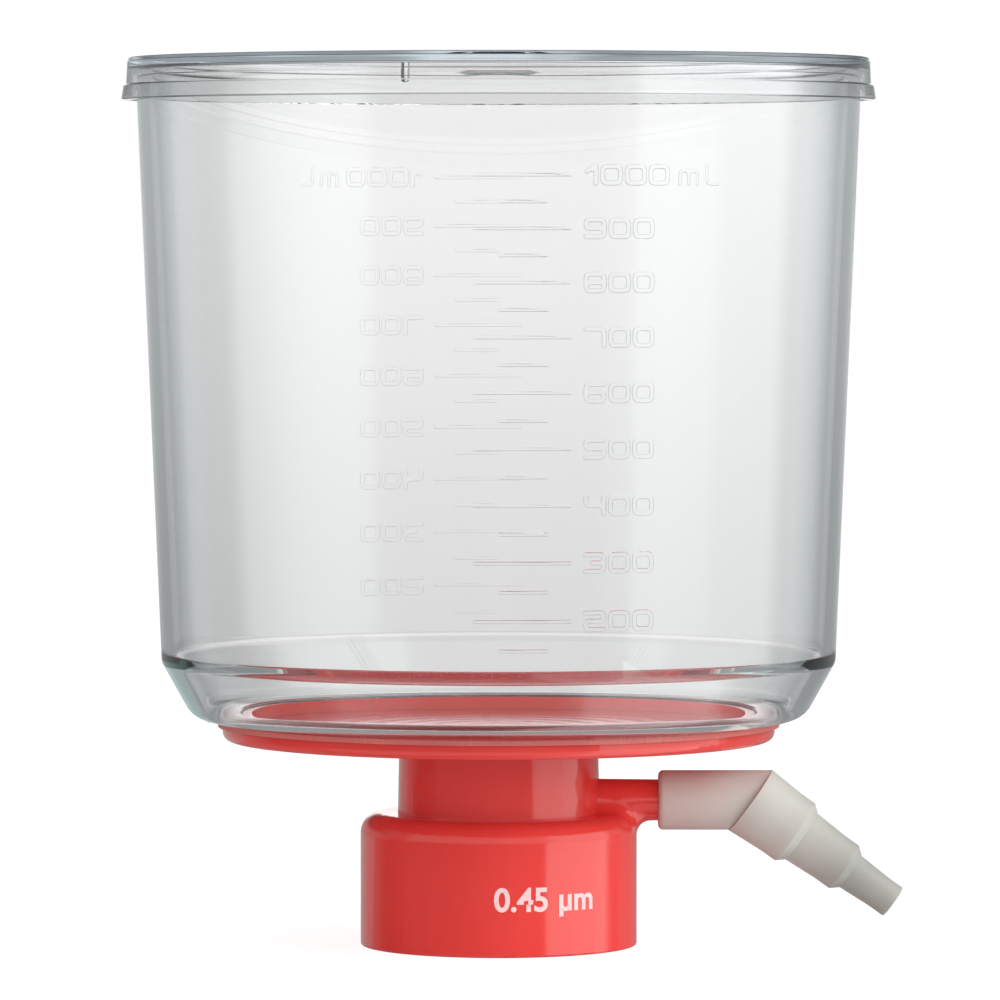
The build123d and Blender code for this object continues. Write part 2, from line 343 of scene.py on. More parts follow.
@dataclass(frozen=True)
class RedStyrene:
    """Glossy red moulded polystyrene: combed on the support's side, and paler in the membrane's recess by
    painted light.
    """

    plug_radius: float
    weld_heights: Point2
    recess_radius: float
    seat_height: float
    name: str = "red_styrene"
    colour: Colour = (0.74, 0.058, 0.050)
    deep_colour: Colour = (0.68, 0.046, 0.040)
    # painted light: a paler red for the membrane's recess, standing in for the lamplight that the clear walls
    # stop
    seal_colour: Colour = (0.86, 0.12, 0.10)
    cloud_scale: float = 24.0  # per metre
    gloss_scale: float = 160.0
    skin_scale: float = 900.0
    skin_height: float = 0.0003  # mm
    relief_unit: float = 0.01  # mm, one step of the bump
    rib_scale: float = 150.0  # per turn's radian
    rib_height: float = 0.06  # mm
    refraction: float = 1.57
    light_reach: float = 1.2  # mm that light goes into it

    def build(self) -> bpy.types.Material:
        """Make the material.

        Returns:
            The material.
        """
        graph = Graph(bpy.data.materials.new(self.name))
        place = graph.coordinates("Object")
        cloud = graph.noise(place, self.cloud_scale, 3.0)
        skin = graph.noise(place, self.skin_scale)
        radius = (place * Graph.FLAT).length()
        low, high = self.weld_heights
        height = place.part("Z")
        welded = height.rise(low * MM, (low + 0.15) * MM) * height.fall((high - 0.3) * MM, high * MM)
        welded = welded * radius.rise((self.plug_radius - 0.2) * MM, (self.plug_radius - 0.05) * MM)
        around = (place * Graph.FLAT).unit()
        ribs = graph.noise(around, self.rib_scale, roughness=0.7)
        relief = skin * (self.skin_height / self.relief_unit)
        relief = relief + ribs * welded * (self.rib_height / self.relief_unit)
        # painted light: the recess's wall and seat, inside the clear funnel, are made paler as if the lamps
        # lit them
        recess_light = height.rise((self.seat_height - 0.1) * MM, self.seat_height * MM)
        recess_light = recess_light * radius.fall((self.recess_radius + 0.3) * MM, (self.recess_radius + 0.6) * MM)
        body = graph.blend(self.deep_colour, self.colour, cloud.rise(0.25, 0.75))
        surface = graph.principled(
            {
                "Base Color": graph.blend(body, self.seal_colour, recess_light),
                "Roughness": 0.10 + graph.noise(place, self.gloss_scale, 3.0) * 0.06,
                "IOR": self.refraction,
                "Subsurface Weight": 0.08,
                "Subsurface Radius": (1.0, 0.12, 0.08),
                "Subsurface Scale": self.light_reach * MM,
                "Normal": graph.bump(relief, self.relief_unit * MM),
            }
        )
        return graph.finish(surface)


@dataclass(frozen=True)
class WeldFlash:
    """Rough pinkish red melt on the weld, combed upright by the welding tool."""

    name: str = "weld_flash"
    colour: Colour = (0.62, 0.115, 0.10)
    pale: Colour = (0.72, 0.22, 0.19)
    comb_scale: float = 320.0  # per turn's radian
    comb_height: float = 0.07  # mm
    patch_scale: float = 3.0  # per turn's radian
    refraction: float = 1.57

    def build(self) -> bpy.types.Material:
        """Make the material.

        Returns:
            The material.
        """
        graph = Graph(bpy.data.materials.new(self.name))
        place = graph.coordinates("Object")
        around = (place * Graph.FLAT).unit()
        comb = graph.noise(around, self.comb_scale, roughness=0.7)
        patches = graph.noise(around, self.patch_scale, 1.0).rise(0.35, 0.7)
        surface = graph.principled(
            {
                "Base Color": graph.blend(self.colour, self.pale, comb.rise(0.45, 0.7) * patches),
                "Roughness": 0.35 + comb * 0.2,
                "IOR": self.refraction,
                "Normal": graph.bump(comb, self.comb_height * MM),
            }
        )
        return graph.finish(surface)


@dataclass(frozen=True)
class NaturalPropylene:
    """Milky natural polypropylene, flushed where the red arm stands inside it, and darker toward the hose end
    by painted shade.
    """

    arm_tip: float
    hose_end: float
    name: str = "natural_propylene"
    colour: Colour = (0.54, 0.54, 0.50)
    flush: Colour = (0.56, 0.42, 0.395)
    # painted shade for the end toward the hose
    shade: Colour = (0.30, 0.30, 0.275)
    flush_start: float = 9.0  # mm before the arm's tip
    flush_end: float = 2.0  # mm past it
    cloud_scale: float = 90.0  # per metre
    gloss_scale: float = 300.0
    skin_scale: float = 1400.0
    skin_height: float = 0.003  # mm
    refraction: float = 1.49
    light_reach: float = 2.2  # mm that light goes into it

    def build(self) -> bpy.types.Material:
        """Make the material.

        Returns:
            The material.
        """
        graph = Graph(bpy.data.materials.new(self.name))
        place = graph.coordinates("Object")
        reach = place.part("X")
        cloud = graph.noise(place, self.cloud_scale, 3.0)
        clear_of_arm = (self.arm_tip + self.flush_end) * MM
        behind = reach.fall((self.arm_tip - self.flush_start) * MM, clear_of_arm)
        # painted shade: the colour darkens from the arm's tip toward the hose end
        unshaded_share = reach.fall(clear_of_arm, self.hose_end * MM)
        body = graph.blend(self.shade, self.colour, unshaded_share * 0.8 + cloud.rise(0.2, 0.7) * 0.2)
        skin = graph.noise(place, self.skin_scale)
        surface = graph.principled(
            {
                "Base Color": graph.blend(body, self.flush, behind * (0.35 + cloud * 0.2)),
                "Roughness": 0.36 + graph.noise(place, self.gloss_scale) * 0.1,
                "IOR": self.refraction,
                "Subsurface Weight": 0.55,
                "Subsurface Radius": (1.0, 0.85, 0.7),
                "Subsurface Scale": self.light_reach * MM,
                "Normal": graph.bump(skin, self.skin_height * MM),
            }
        )
        return graph.finish(surface)


@dataclass(frozen=True)
class MembraneFilm:
    """Thin wet microporous film: the red support shows through it, with paler grains."""

    name: str = "membrane_film"
    colour: Colour = (0.62, 0.085, 0.08)
    grain_colour: Colour = (0.76, 0.34, 0.32)
    grain_scale: float = 2600.0  # per metre
    drape_scale: float = 120.0
    drape_height: float = 0.008  # mm
    refraction: float = 1.5

    def build(self) -> bpy.types.Material:
        """Make the material.

        Returns:
            The material.
        """
        graph = Graph(bpy.data.materials.new(self.name))
        place = graph.coordinates("Object")
        grain = graph.noise(place, self.grain_scale, 3.0, 0.7)
        drape = graph.noise(place, self.drape_scale)
        surface = graph.principled(
            {
                "Base Color": graph.blend(self.colour, self.grain_colour, grain.rise(0.58, 0.68)),
                "Roughness": 0.10 + grain * 0.08,
                "IOR": self.refraction,
                "Normal": graph.bump(grain * 0.4 + drape, self.drape_height * MM),
            }
        )
        return graph.finish(surface)


@dataclass(frozen=True)
class SoftElastomer:
    """Soft white gasket rubber with a dusty skin."""

    name: str = "soft_elastomer"
    colour: Colour = (0.74, 0.735, 0.71)
    dust: Colour = (0.62, 0.61, 0.58)
    dust_scale: float = 700.0  # per metre
    dust_height: float = 0.01  # mm
    refraction: float = 1.45

    def build(self) -> bpy.types.Material:
        """Make the material.

        Returns:
            The material.
        """
        graph = Graph(bpy.data.materials.new(self.name))
        place = graph.coordinates("Object")
        dust = graph.noise(place, self.dust_scale, 4.0, 0.6)
        surface = graph.principled(
            {
                "Base Color": graph.blend(self.dust, self.colour, dust.rise(0.3, 0.6)),
                "Roughness": 0.55 + dust * 0.2,
                "IOR": self.refraction,
                "Normal": graph.bump(dust, self.dust_height * MM),
            }
        )
        return graph.finish(surface)


@dataclass(frozen=True)
class PadInk:
    """Pale pad-printing ink, a little thin where the pad lifted."""

    name: str = "pad_ink"
    colour: Colour = (0.86, 0.62, 0.62)
    thin: Colour = (0.80, 0.47, 0.47)
    cover_scale: float = 2200.0  # per metre
    refraction: float = 1.45

    def build(self) -> bpy.types.Material:
        """Make the material.

        Returns:
            The material.
        """
        graph = Graph(bpy.data.materials.new(self.name))
        place = graph.coordinates("Object")
        cover = graph.noise(place, self.cover_scale, 3.0, 0.6)
        surface = graph.principled(
            {
                "Base Color": graph.blend(self.thin, self.colour, cover.rise(0.28, 0.5)),
                "Roughness": 0.42 + cover * 0.1,
                "IOR": self.refraction,
            }
        )
        return graph.finish(surface)


@dataclass(frozen=True)
class FloorPaper:
    """White paper sweep: it shows white and keeps the shadow."""

    name: str = "floor_paper"
    paper: float = 0.80
    shown_paper: float = 0.20
    shown_glow: float = 0.88
    fibre_scale: float = 60.0  # per metre
    fibre_depth: float = 0.004  # of the paper's whiteness

    def build(self) -> bpy.types.Material:
        """Make the material.

        Returns:
            The material.
        """
        graph = Graph(bpy.data.materials.new(self.name))
        fibre = graph.noise(graph.coordinates("Object"), self.fibre_scale) * self.fibre_depth
        level = self.shown_paper - self.fibre_depth / 2 + fibre
        shade = graph.node("ShaderNodeBsdfDiffuse", {}, {"Color": level})
        glow = graph.node("ShaderNodeEmission", {}, {"Color": (1.0, 1.0, 1.0), "Strength": self.shown_glow})
        shown = graph.node("ShaderNodeAddShader", {}, {0: shade, 1: glow})
        plain = graph.node("ShaderNodeBsdfDiffuse", {}, {"Color": (self.paper,) * 3})
        sides = {0: graph.ray("Is Camera Ray"), 1: plain, 2: shown}
        return graph.finish(graph.node("ShaderNodeMixShader", {}, sides))


# ------------------------------------------------------------------------ turned sections
@dataclass(frozen=True)
class Corner:
    """One corner of a section, in millimetres, and the radius that rounds it."""

    radius: float
    height: float
    rounding: float = 0.0


class Section:
    """The closed section of a turned part, as short edges with exact normals."""

    ARC_STEP = math.radians(5.0)

    def __init__(self, corners: Sequence[Corner]) -> None:
        """Round the corners and list the edges.

        Args:
            corners: The corners in order round the section.
        """
        flat = np.array([(corner.radius, corner.height) for corner in corners], float)
        turned = np.roll(flat, -1, 0)
        self.facing = 1.0 if np.sum(flat[:, 0] * turned[:, 1] - turned[:, 0] * flat[:, 1]) > 0 else -1.0
        runs = [self._run(flat, index, corner.rounding) for index, corner in enumerate(corners)]
        starts: list[np.ndarray] = []
        ends: list[np.ndarray] = []
        normals: list[tuple[np.ndarray, np.ndarray]] = []
        for run, following in zip(runs, runs[1:] + runs[:1]):
            points, centre, bend = run
            for first, second in zip(points, points[1:]):
                starts.append(first)
                ends.append(second)
                normals.append((bend * _unit(first - centre), bend * _unit(second - centre)))
            first, second = points[-1], following[0][0]
            if np.linalg.norm(second - first) > 1e-6:
                side = self._side_normal(first, second)
                starts.append(first)
                ends.append(second)
                normals.append((side, side))
        self.starts = np.array(starts)
        self.ends = np.array(ends)
        self.start_normals = np.array([pair[0] for pair in normals])
        self.end_normals = np.array([pair[1] for pair in normals])

    def _side_normal(self, first: np.ndarray, second: np.ndarray) -> np.ndarray:
        """The outward normal of a straight side."""
        along = second - first
        return self.facing * _unit(np.array([along[1], -along[0]]))

    def _run(self, flat: np.ndarray, index: int, rounding: float) -> tuple[list, np.ndarray, float]:
        """The points that stand for one corner.

        Args:
            flat: All the corners.
            index: Which corner.
            rounding: Its rounding radius.

        Returns:
            The points, the centre of the rounding, and 1 where it is convex or -1.
        """
        here = flat[index]
        if rounding <= 0:
            return [here], here, 1.0
        back = _unit(flat[index - 1] - here)
        ahead = _unit(flat[(index + 1) % len(flat)] - here)
        half = math.acos(float(np.clip(back @ ahead, -1, 1))) / 2
        centre = here + _unit(back + ahead) * rounding / math.sin(half)
        reach = rounding / math.tan(half)
        first, last = here + back * reach - centre, here + ahead * reach - centre
        sweep = math.pi - 2 * half
        side = 1.0 if first[0] * last[1] - first[1] * last[0] > 0 else -1.0
        steps = max(2, math.ceil(sweep / self.ARC_STEP))
        points = []
        for step in range(steps + 1):
            angle = side * sweep * step / steps
            points.append(centre + np.array([
                first[0] * math.cos(angle) - first[1] * math.sin(angle),
                first[0] * math.sin(angle) + first[1] * math.cos(angle),
            ]))
        return points, centre, side * self.facing


def _unit(vector: np.ndarray) -> np.ndarray:
    """A vector at length 1."""
    return vector / np.linalg.norm(vector)


# ------------------------------------------------------------------------ meshes
def linked(name: str, data: bpy.types.ID) -> bpy.types.Object:
    """A new object in the scene.

    Args:
        name: Its name.
        data: The mesh, text, lamp or camera that it shows.

    Returns:
        The object.
    """
    made = bpy.data.objects.new(name, data)
    bpy.context.scene.collection.objects.link(made)
    return made


def hide_from(made: bpy.types.Object, *rays: str) -> None:
    """Keep an object out of some kinds of ray."""
    for ray in rays:
        setattr(made, f"visible_{ray}", False)


class Shape:
    """A mesh in the making: points, faces and, where they are known, the corner normals."""

    def __init__(
        self, points: np.ndarray, faces: list[tuple[int, ...]], normals: Union[np.ndarray, None] = None
    ) -> None:
        """Hold the data.

        Args:
            points: The points, in metres.
            faces: The faces as point numbers.
            normals: One normal per face corner, in face order.
        """
        self.points = points
        self.faces = faces
        self.normals = normals

    def mesh(self, name: str) -> bpy.types.Mesh:
        """Write it as a Blender mesh.

        Args:
            name: The mesh's name.

        Returns:
            The mesh.
        """
        mesh = bpy.data.meshes.new(name)
        mesh.from_pydata(self.points.tolist(), [], self.faces)
        mesh.shade_smooth()
        if self.normals is not None:
            mesh.normals_split_custom_set(self.normals.tolist())
        mesh.update()
        return mesh

    def object(self, name: str) -> bpy.types.Object:
        """Write it as a Blender object in the scene."""
        return linked(name, self.mesh(name))


def turned(section: Section, segments: int) -> Shape:
    """Turn a section round the Z axis.

    Args:
        section: The section, in millimetres.
        segments: Steps in a full turn.

    Returns:
        The closed shape with exact normals.
    """
    angles = np.arange(segments) * FULL_TURN / segments
    cosines, sines = np.cos(angles), np.sin(angles)
    rings: dict[tuple[float, float], list[int]] = {}
    points: list[tuple[float, float, float]] = []

    def ring(corner: np.ndarray) -> list[int]:
        """The point numbers of one ring, or of one point on the axis.

        Args:
            corner: Its radius and height, in millimetres.

        Returns:
            One point number for each step of the turn.
        """
        key = (round(float(corner[0]), 5), round(float(corner[1]), 5))
        if key not in rings:
            start = len(points)
            if key[0] < 1e-4:
                points.append((0.0, 0.0, corner[1] * MM))
                rings[key] = [start] * segments
            else:
                reach, height = corner[0] * MM, corner[1] * MM
                points.extend(zip(reach * cosines, reach * sines, [height] * segments))
                rings[key] = list(range(start, start + segments))
        return rings[key]

    faces: list[tuple[int, ...]] = []
    normals: list[tuple[float, float, float]] = []
    for start, end, start_normal, end_normal in zip(
        section.starts, section.ends, section.start_normals, section.end_normals
    ):
        if start[0] < 1e-4 and end[0] < 1e-4:
            continue
        first, second = ring(start), ring(end)
        for index in range(segments):
            following = (index + 1) % segments
            corners = [
                (first[index], index, start_normal),
                (first[following], following, start_normal),
                (second[following], following, end_normal),
                (second[index], index, end_normal),
            ]
            if section.facing < 0:
                corners.reverse()
            if start[0] < 1e-4:
                corners.remove(next(item for item in corners if item[0] == first[index]))
            elif end[0] < 1e-4:
                corners.remove(next(item for item in corners if item[0] == second[index]))
            faces.append(tuple(number for number, _, _ in corners))
            normals.extend(
                (normal[0] * cosines[turn], normal[0] * sines[turn], normal[1]) for _, turn, normal in corners
            )
    return Shape(np.array(points), faces, np.array(normals))


def put(
    made: bpy.types.Object,
    material: bpy.types.Material,
    body: str,
    replaces: Iterable[str] = (),
) -> bpy.types.Object:
    """Dress a piece and tie it to the frame.

    Args:
        made: The piece.
        material: Its finish.
        body: The body it rides on.
        replaces: The nodes it stands for.

    Returns:
        The same piece.
    """
    made.data.materials.clear()
    made.data.materials.append(material)
    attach(made, body)
    if replaces:
        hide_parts(*replaces)
    LOG.info("%s: %d faces, on %s", made.name, len(made.data.polygons), body)
    return made


# ------------------------------------------------------------------------ raised characters
@dataclass(frozen=True)
class Lettering:
    """Wide square characters cut in a mould, all of one stroke."""

    width: float = 3.95
    height: float = 3.6
    stroke: float = 0.82
    gap: float = 0.33
    unit_gap: float = 1.3  # on both sides of the m
    outer_round: float = 1.3
    inner_round: float = 0.6
    one_width: float = 2.5
    flag_drops: tuple[float, float, float] = (1.2, 1.75, 1.05)  # below the top of the 1: tip, foot, root
    flag_tip: float = 0.45  # how far along its foot stands
    unit_stroke: float = 0.6
    m_width: float = 4.0
    m_height: float = 2.8
    litre_width: float = 2.8
    bend_steps: int = 4
    longest_side: float = 1.0

    def loops(self, character: str) -> tuple[float, list[list[Point2]]]:
        """The outlines of one character.

        Args:
            character: A digit, m or L.

        Returns:
            Its width, and its outer loop followed by its holes.
        """
        w, h, t = self.width, self.height, self.stroke
        low, high = (h - t) / 2, (h + t) / 2
        o, u = self.one_width, self.unit_stroke
        outside = [(0, 0), (w, 0), (w, h), (0, h)]
        tip, foot, root = (h - drop for drop in self.flag_drops)

        def hole(bottom: float, top: float) -> list[Point2]:
            """The inside of a closed stroke, clockwise."""
            return [(t, bottom), (t, top), (w - t, top), (w - t, bottom)]

        upper_hook = [(0, h - t), (w - t, h - t), (w - t, high)]
        lower_hook = [(w - t, low), (w - t, t), (0, t)]
        shapes: dict[str, tuple[float, list[list[Point2]]]] = {
            "0": (w, [outside, hole(t, h - t)]),
            "1": (o, [[(o - t, 0), (o, 0), (o, h), (o - t, h), (0, tip), (self.flag_tip, foot),
                       (o - t, root)]]),
            "2": (w, [[(0, 0), (w, 0), (w, t), (t, t), (t, low), (w, low), (w, h), (0, h), *upper_hook,
                       (0, high)]]),
            "3": (w, [[*outside, *upper_hook, (w * 0.3, high), (w * 0.3, low), *lower_hook]]),
            "4": (w, [[(w - t, 0), (w, 0), (w, h), (w - t, h), (w - t, high), (t, high), (t, h), (0, h),
                       (0, low), (w - t, low)]]),
            "5": (w, [[(0, 0), (w, 0), (w, high), (t, high), (t, h - t), (w, h - t), (w, h), (0, h), (0, low),
                       *lower_hook]]),
            "6": (w, [[(0, 0), (w, 0), (w, high), (t, high), (t, h - t), (w, h - t), (w, h), (0, h)],
                      hole(t, low)]),
            "7": (w, [[(w - t, 0), (w, 0), (w, h), (0, h), (0, h - t), (w - t, h - t)]]),
            "8": (w, [outside, hole(t, low), hole(high, h - t)]),
            "9": (w, [[*outside, (0, low), *lower_hook], hole(high, h - t)]),
        }
        m, x, base = self.m_width, self.m_height, self.litre_width
        left, right = (m - u) / 2, (m + u) / 2
        shapes["m"] = (m, [[(0, 0), (u, 0), (u, x - u), (left, x - u), (left, 0), (right, 0),
                            (right, x - u), (m - u, x - u), (m - u, 0), (m, 0), (m, x), (0, x)]])
        shapes["L"] = (base, [[(0, 0), (base, 0), (base, u), (u, u), (u, h), (0, h)]])
        return shapes[character]

    def rounded(self, loop: Sequence[Point2]) -> list[Point2]:
        """Round the corners of a loop and part its long sides.

        Args:
            loop: The loop's corners.

        Returns:
            The loop with more points.
        """
        result: list[Point2] = []
        flat = np.array(loop, float)
        for index, here in enumerate(flat):
            before, after = flat[index - 1], flat[(index + 1) % len(flat)]
            back, ahead = _unit(before - here), _unit(after - here)
            bend = back[0] * ahead[1] - back[1] * ahead[0]
            room = min(np.linalg.norm(before - here), np.linalg.norm(after - here)) * 0.49
            radius = min(self.outer_round if bend < 0 else self.inner_round, room)
            for share in np.linspace(0.0, 1.0, self.bend_steps + 1):
                result.append(tuple(here + (1 - share) ** 2 * radius * back + share ** 2 * radius * ahead))
        return _parted(result, self.longest_side)


def _parted(loop: Sequence[Point2], longest: float) -> list[Point2]:
    """Part the sides of a loop that are longer than a length.

    Args:
        loop: The loop.
        longest: The length.

    Returns:
        The loop with more points.
    """
    result: list[Point2] = []
    for here, after in zip(loop, list(loop[1:]) + [loop[0]]):
        count = max(1, math.ceil(math.dist(here, after) / longest))
        result.extend(
            (here[0] + (after[0] - here[0]) * step / count, here[1] + (after[1] - here[1]) * step / count)
            for step in range(count)
        )
    return result


@dataclass(frozen=True)
class Relief:
    """How raised characters and lines stand on a wall: heights above it and the draft there."""

    levels: tuple[Point2, ...] = ((-0.35, 0.0), (0.0, 0.0), (0.035, 0.08))

    def solid(self, loops: Sequence[Sequence[Point2]], wrap: Wrap) -> Shape:
        """A raised solid over some loops.

        Args:
            loops: The outer loop, counterclockwise, and the holes, clockwise.
            wrap: A function from place, height and rise to a point in metres.

        Returns:
            The closed shape.
        """
        points: list[Vector] = []
        faces: list[tuple[int, ...]] = []
        rims: list[list[int]] = []
        flat: list[Vector] = []
        for loop in loops:
            edge = np.array(loop, float)
            along = np.roll(edge, -1, 0) - np.roll(edge, 1, 0)
            inward = np.stack([-along[:, 1], along[:, 0]], 1) / np.linalg.norm(along, axis=1)[:, None]
            start = len(points)
            for rise, draft in self.levels:
                points.extend(wrap(x, y, rise) for x, y in edge + inward * draft)
            size = len(edge)
            for level in range(len(self.levels) - 1):
                for index in range(size):
                    following = (index + 1) % size
                    low, high = start + level * size, start + (level + 1) * size
                    faces.append((low + index, low + following, high + following, high + index))
            rims.append([start + index for index in range(size)])
            flat.extend(Vector((x, y, 0)) for x, y in edge)
        depth = len(self.levels) - 1
        bottom = [number for rim in rims for number in rim]
        top = [number + depth * len(rim) for rim in rims for number in rim]
        parts, offset = [], 0
        for rim in rims:
            parts.append(flat[offset:offset + len(rim)])
            offset += len(rim)
        for a, b, c in tessellate_polygon(parts):
            faces.append((top[a], top[b], top[c]))
            faces.append((bottom[a], bottom[c], bottom[b]))
        return Shape(np.array([tuple(point) for point in points]), faces)


def merged(shapes: Sequence[Shape]) -> Shape:
    """Several shapes as one, without their normals.

    Args:
        shapes: The shapes.

    Returns:
        One shape of all their faces.
    """
    faces, offset = [], 0
    for shape in shapes:
        faces.extend(tuple(number + offset for number in face) for face in shape.faces)
        offset += len(shape.points)
    return Shape(np.concatenate([shape.points for shape in shapes]), faces)


class Carving(Enum):
    """What a tool solid does to a piece."""

    JOIN = "UNION"
    CUT = "DIFFERENCE"


def carve(piece: bpy.types.Object, tool: Shape, carving: Carving) -> None:
    """Join a solid to a piece, or cut it away.

    Args:
        piece: The piece, changed in place.
        tool: The solid.
        carving: Which of the two.
    """
    helper = tool.object("carving_tool")
    modifier = piece.modifiers.new("carve", "BOOLEAN")
    modifier.object = helper
    modifier.operation = carving.value
    modifier.solver = "MANIFOLD"
    graph = bpy.context.evaluated_depsgraph_get()
    result = bpy.data.meshes.new_from_object(piece.evaluated_get(graph), depsgraph=graph)
    old = piece.data
    piece.modifiers.clear()
    piece.data = result
    result.name = piece.name
    bpy.data.meshes.remove(old)
    leftover = helper.data
    bpy.data.objects.remove(helper)
    bpy.data.meshes.remove(leftover)


def _read(
    items: bpy.types.bpy_prop_collection, attribute: str, width: int, kind: type = float
) -> np.ndarray:
    """Read one attribute of all the parts of a mesh.

    Args:
        items: The points, corners or faces.
        attribute: The attribute's name.
        width: How many numbers each holds.
        kind: What kind of number.

    Returns:
        One row for each, or one number for each where the width is 1.
    """
    values = np.zeros(len(items) * width, kind)
    items.foreach_get(attribute, values)
    return values.reshape(-1, width) if width > 1 else values


def restore_normals(piece: bpy.types.Object, section: Section, raised: Sequence[float]) -> None:
    """Give every face that still lies on the turned section its exact normals again.

    Args:
        piece: The piece, after carving.
        section: The section it was turned from.
        raised: The rises of flat-topped reliefs, which follow the section too.
    """
    mesh = piece.data
    points = _read(mesh.vertices, "co", 3) / MM
    corners = _read(mesh.loops, "vertex_index", 1, int)
    totals = _read(mesh.polygons, "loop_total", 1, int)
    face_normals = _read(mesh.polygons, "normal", 3)
    centres = _read(mesh.polygons, "center", 3) / MM

    radius = np.hypot(centres[:, 0], centres[:, 1])
    outward = centres[:, :2] / np.maximum(radius, 1e-6)[:, None]
    flat_normal = np.stack([(face_normals[:, :2] * outward).sum(1), face_normals[:, 2]], 1)
    place = np.stack([radius, centres[:, 2]], 1)
    best = np.full(len(place), -1)
    closest = np.full(len(place), ON_SECTION)
    for index, (start, end) in enumerate(zip(section.starts, section.ends)):
        along = end - start
        length = np.linalg.norm(along)
        share = np.clip((place - start) @ along / length**2, 0, 1)
        gap = place - start - share[:, None] * along
        mean = _unit(section.start_normals[index] + section.end_normals[index])
        aligned = flat_normal @ mean > SAME_FACING
        distance = np.linalg.norm(gap, axis=1)
        for rise in raised:
            distance = np.minimum(distance, np.abs(gap @ mean - rise))
        better = aligned & (distance < closest)
        best[better] = index
        closest[better] = distance[better]

    owner = np.repeat(np.arange(len(totals)), totals)
    normals = face_normals[owner]
    known = best[owner] >= 0
    edge = best[owner][known]
    spot = points[corners[known]]
    spot_radius = np.maximum(np.hypot(spot[:, 0], spot[:, 1]), 1e-6)
    start, end = section.starts[edge], section.ends[edge]
    along = end - start
    at = np.stack([spot_radius, spot[:, 2]], 1)
    share = np.clip(((at - start) * along).sum(1) / (along**2).sum(1), 0, 1)[:, None]
    mixed = section.start_normals[edge] * (1 - share) + section.end_normals[edge] * share
    mixed /= np.linalg.norm(mixed, axis=1)[:, None]
    normals[known] = np.stack(
        [mixed[:, 0] * spot[:, 0] / spot_radius, mixed[:, 0] * spot[:, 1] / spot_radius, mixed[:, 1]], 1
    )
    mesh.shade_smooth()
    mesh.normals_split_custom_set(normals.tolist())


class CornerNormals:
    """The corner normals of a solid's mesh, kept by place for the mesh that is carved from it."""

    SAME_SIDE = 0.995  # cosine within which a carved face counts as the solid's own

    def __init__(self, mesh: bpy.types.Mesh) -> None:
        """Read the mesh.

        Args:
            mesh: The solid's mesh.
        """
        points = np.array([vertex.co for vertex in mesh.vertices])
        self.faces = [tuple(face.vertices) for face in mesh.polygons]
        sides = np.array([face.normal for face in mesh.polygons])
        corners = np.array([corner.vector for corner in mesh.corner_normals])
        places, self.numbers = np.unique(np.round(points, 7), axis=0, return_inverse=True)
        self.numbers = self.numbers.ravel()
        self.points = places
        self.known: dict[tuple[int, ...], list[tuple[np.ndarray, np.ndarray]]] = {}
        position = 0
        for face, side in zip(self.faces, sides):
            for number in face:
                key = self._key(points[number])
                self.known.setdefault(key, []).append((side, corners[position]))
                position += 1

    @staticmethod
    def _key(point: np.ndarray) -> tuple[int, ...]:
        """A place as whole micrometres."""
        return tuple(int(round(value * 1e6)) for value in point)

    def welded(self) -> Shape:
        """The solid as one closed shape, with no doubled points."""
        faces = [tuple(int(self.numbers[number]) for number in face) for face in self.faces]
        return Shape(self.points, [face for face in faces if len(set(face)) == len(face)])

    def apply(self, mesh: bpy.types.Mesh) -> None:
        """Give the corners that are left their normals again, and flat ones to the new faces.

        Args:
            mesh: The carved mesh.
        """
        normals = []
        for face in mesh.polygons:
            side = np.array(face.normal)
            for number in face.vertices:
                near = self.known.get(self._key(mesh.vertices[number].co), [])
                best = max(near, key=lambda pair: float(pair[0] @ side), default=None)
                fits = best is not None and float(best[0] @ side) > self.SAME_SIDE
                normals.append(tuple(best[1] if fits else side))
        mesh.shade_smooth()
        mesh.normals_split_custom_set(normals)


